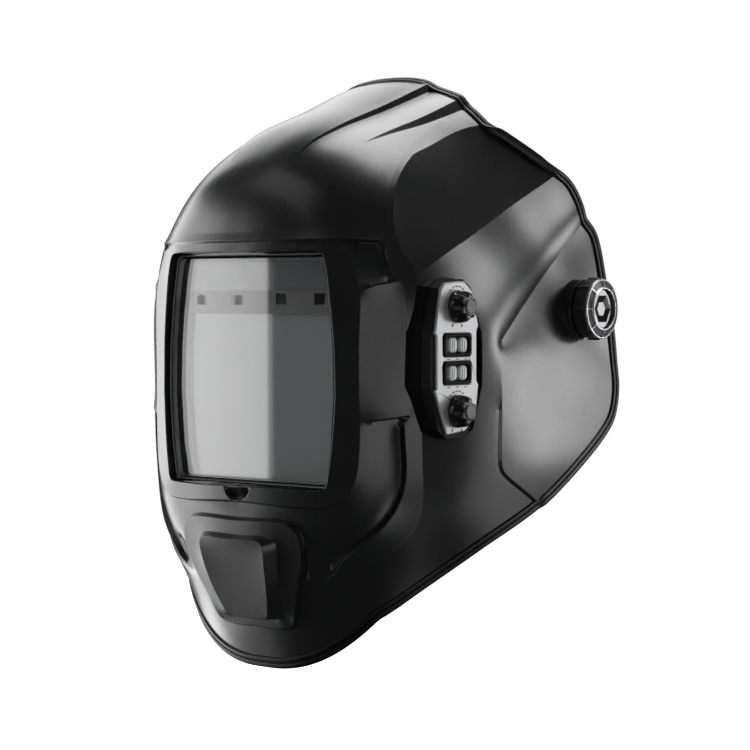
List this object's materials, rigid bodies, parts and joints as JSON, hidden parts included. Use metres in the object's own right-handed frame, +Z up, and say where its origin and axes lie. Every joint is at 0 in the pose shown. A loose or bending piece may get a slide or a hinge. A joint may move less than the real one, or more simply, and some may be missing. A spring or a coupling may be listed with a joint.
{
  "type": "auto darkening welding helmet",
  "caption": "Full face welding helmet: black shell with a wide auto darkening window, side dial panel, and a ratchet headband on tilting side pivots.",
  "frame": {"origin": "middle of the tilt axis between the two side pivots, on the symmetry plane", "axes": "+Z up, the helmet faces -Y, +X towards the wearer's left, where the dial panel is"},
  "size_m": [0.244, 0.2826, 0.3202],
  "materials": {
    "shell_black": "satin black moulding",
    "clear_lens": "clear polycarbonate",
    "rubber_black": "matt",
    "adf_black": "fine matt",
    "filter_glass": "dark filter glass",
    "solar": "dark solar strip",
    "sensor_glass": "dark window",
    "board": "green laminate",
    "cell_steel": "stamped",
    "cap_grey": "fine matt",
    "button_red": "satin",
    "plastic_black": "fine matt",
    "screw_steel": "zinc plated",
    "plate_silver": "satin silver paint",
    "slider_grey": "satin light grey",
    "knob_black": "satin black",
    "band_plastic": "flexible nylon",
    "foam": "cloth covered foam",
    "washer_grey": "acetal",
    "ring_silver": "plated",
    "disc_dark": "matt",
    "insert_brass": "turned"
  },
  "bodies": {
    "headgear": {"headband": "band_plastic", "front_sweatband": "foam", "cross_strap": "band_plastic", "long_strap": "band_plastic", "arm_left": "plastic_black", "arm_right": "plastic_black", "ratchet_housing": "plastic_black", "ratchet_cover": "plastic_black", "rear_pad": "foam"},
    "pivot_carriage": {"pivot_stud_left": "plastic_black", "pivot_stud_right": "plastic_black", "friction_washer_left": "washer_grey", "friction_washer_right": "washer_grey"},
    "helmet_shell": {"outer_shell": "shell_black", "cover_lens": "clear_lens", "lens_gasket": "rubber_black", "adf_front_frame": "adf_black", "adf_housing": "adf_black", "adf_lcd_glass": "filter_glass", "solar_cell": "solar", "arc_sensors": "sensor_glass", "adf_circuit_board": "board", "coin_cells": "cell_steel", "inner_cover_lens": "clear_lens", "filter_retainer": "plastic_black", "retainer_screws": "screw_steel", "control_housing": "plastic_black", "control_plate": "plate_silver", "upper_switch_bezel": "plastic_black", "lower_switch_bezel": "plastic_black", "upper_switch_body": "plastic_black", "lower_switch_body": "plastic_black", "shade_pot": "cell_steel", "sensitivity_pot": "cell_steel", "control_board": "board", "control_back_cover": "plastic_black", "control_screws": "screw_steel", "control_lead": "rubber_black"},
    "tension_knob_l": {"tension_grip_left": "knob_black", "tension_ring_left": "ring_silver", "tension_disc_left": "disc_dark", "tension_insert_left": "insert_brass"},
    "tension_knob_r": {"tension_grip_right": "knob_black", "tension_ring_right": "ring_silver", "tension_disc_right": "disc_dark", "tension_insert_right": "insert_brass"},
    "shade_dial": {"shade_knob": "knob_black", "shade_shaft": "screw_steel"},
    "sensitivity_dial": {"sensitivity_knob": "knob_black", "sensitivity_shaft": "screw_steel"},
    "upper_switch": {"upper_switch_slider": "slider_grey"},
    "lower_switch": {"lower_switch_slider": "slider_grey"},
    "cap_left": {"battery_cap_left": "cap_grey"},
    "cap_right": {"battery_cap_right": "cap_grey"},
    "button": {"test_button": "button_red"},
    "ratchet": {"ratchet_knob": "knob_black", "pinion": "washer_grey"},
    "tail_left": {"rack_left": "band_plastic"},
    "tail_right": {"rack_right": "band_plastic"}
  },
  "joints": [
    {"name": "reach_adjust", "type": "slide", "parent": "headgear", "child": "pivot_carriage", "axis": [0, 1, 0], "range_m": [-0.007, 0.007]},
    {"name": "helmet_tilt", "type": "hinge", "parent": "pivot_carriage", "child": "helmet_shell", "pos_m": [0, 0, 0], "axis": [-1, 0, 0], "range_deg": [0, 75]},
    {"name": "tension_turn_left", "type": "hinge", "parent": "pivot_carriage", "child": "tension_knob_l", "pos_m": [0.115, 0, 0], "axis": [1, 0, 0], "range_deg": [0, 270]},
    {"name": "tension_turn_right", "type": "hinge", "parent": "pivot_carriage", "child": "tension_knob_r", "pos_m": [-0.115, 0, 0], "axis": [-1, 0, 0], "range_deg": [0, 270]},
    {"name": "shade_turn", "type": "hinge", "parent": "helmet_shell", "child": "shade_dial", "pos_m": [0.11, -0.1186, 0.0015], "axis": [1, 0, 0], "range_deg": [-135, 135]},
    {"name": "sensitivity_turn", "type": "hinge", "parent": "helmet_shell", "child": "sensitivity_dial", "pos_m": [0.11, -0.1186, -0.0525], "axis": [1, 0, 0], "range_deg": [-135, 135]},
    {"name": "upper_switch_slide", "type": "slide", "parent": "helmet_shell", "child": "upper_switch", "axis": [0, 1, 0], "range_m": [-0.0018, 0.0018]},
    {"name": "lower_switch_slide", "type": "slide", "parent": "helmet_shell", "child": "lower_switch", "axis": [0, 1, 0], "range_m": [-0.0018, 0.0018]},
    {"name": "battery_cap_left_turn", "type": "hinge", "parent": "helmet_shell", "child": "cap_left", "pos_m": [0.038, -0.1434, 0.016], "axis": [0, 1, 0], "range_deg": [0, 60]},
    {"name": "battery_cap_right_turn", "type": "hinge", "parent": "helmet_shell", "child": "cap_right", "pos_m": [-0.038, -0.1434, 0.016], "axis": [0, 1, 0], "range_deg": [0, 60]},
    {"name": "test_button_press", "type": "slide", "parent": "helmet_shell", "child": "button", "axis": [0, -1, 0], "range_m": [0, 0.0008], "stiffness_N_per_m": 600},
    {"name": "ratchet_turn", "type": "hinge", "parent": "headgear", "child": "ratchet", "pos_m": [0, 0.1, 0], "axis": [0, -1, 0], "range_deg": [0, 229]},
    {"name": "tail_left_slide", "type": "slide", "parent": "headgear", "child": "tail_left", "axis": [-1, 0, 0], "range_m": [0, 0.02]},
    {"name": "tail_right_slide", "type": "slide", "parent": "headgear", "child": "tail_right", "axis": [1, 0, 0], "range_m": [0, 0.02]}
  ],
  "couplings": [
    {"joint": "tail_left_slide", "follows": "ratchet_turn", "m_per_rad": 0.005},
    {"joint": "tail_right_slide", "follows": "ratchet_turn", "m_per_rad": 0.005}
  ]
}
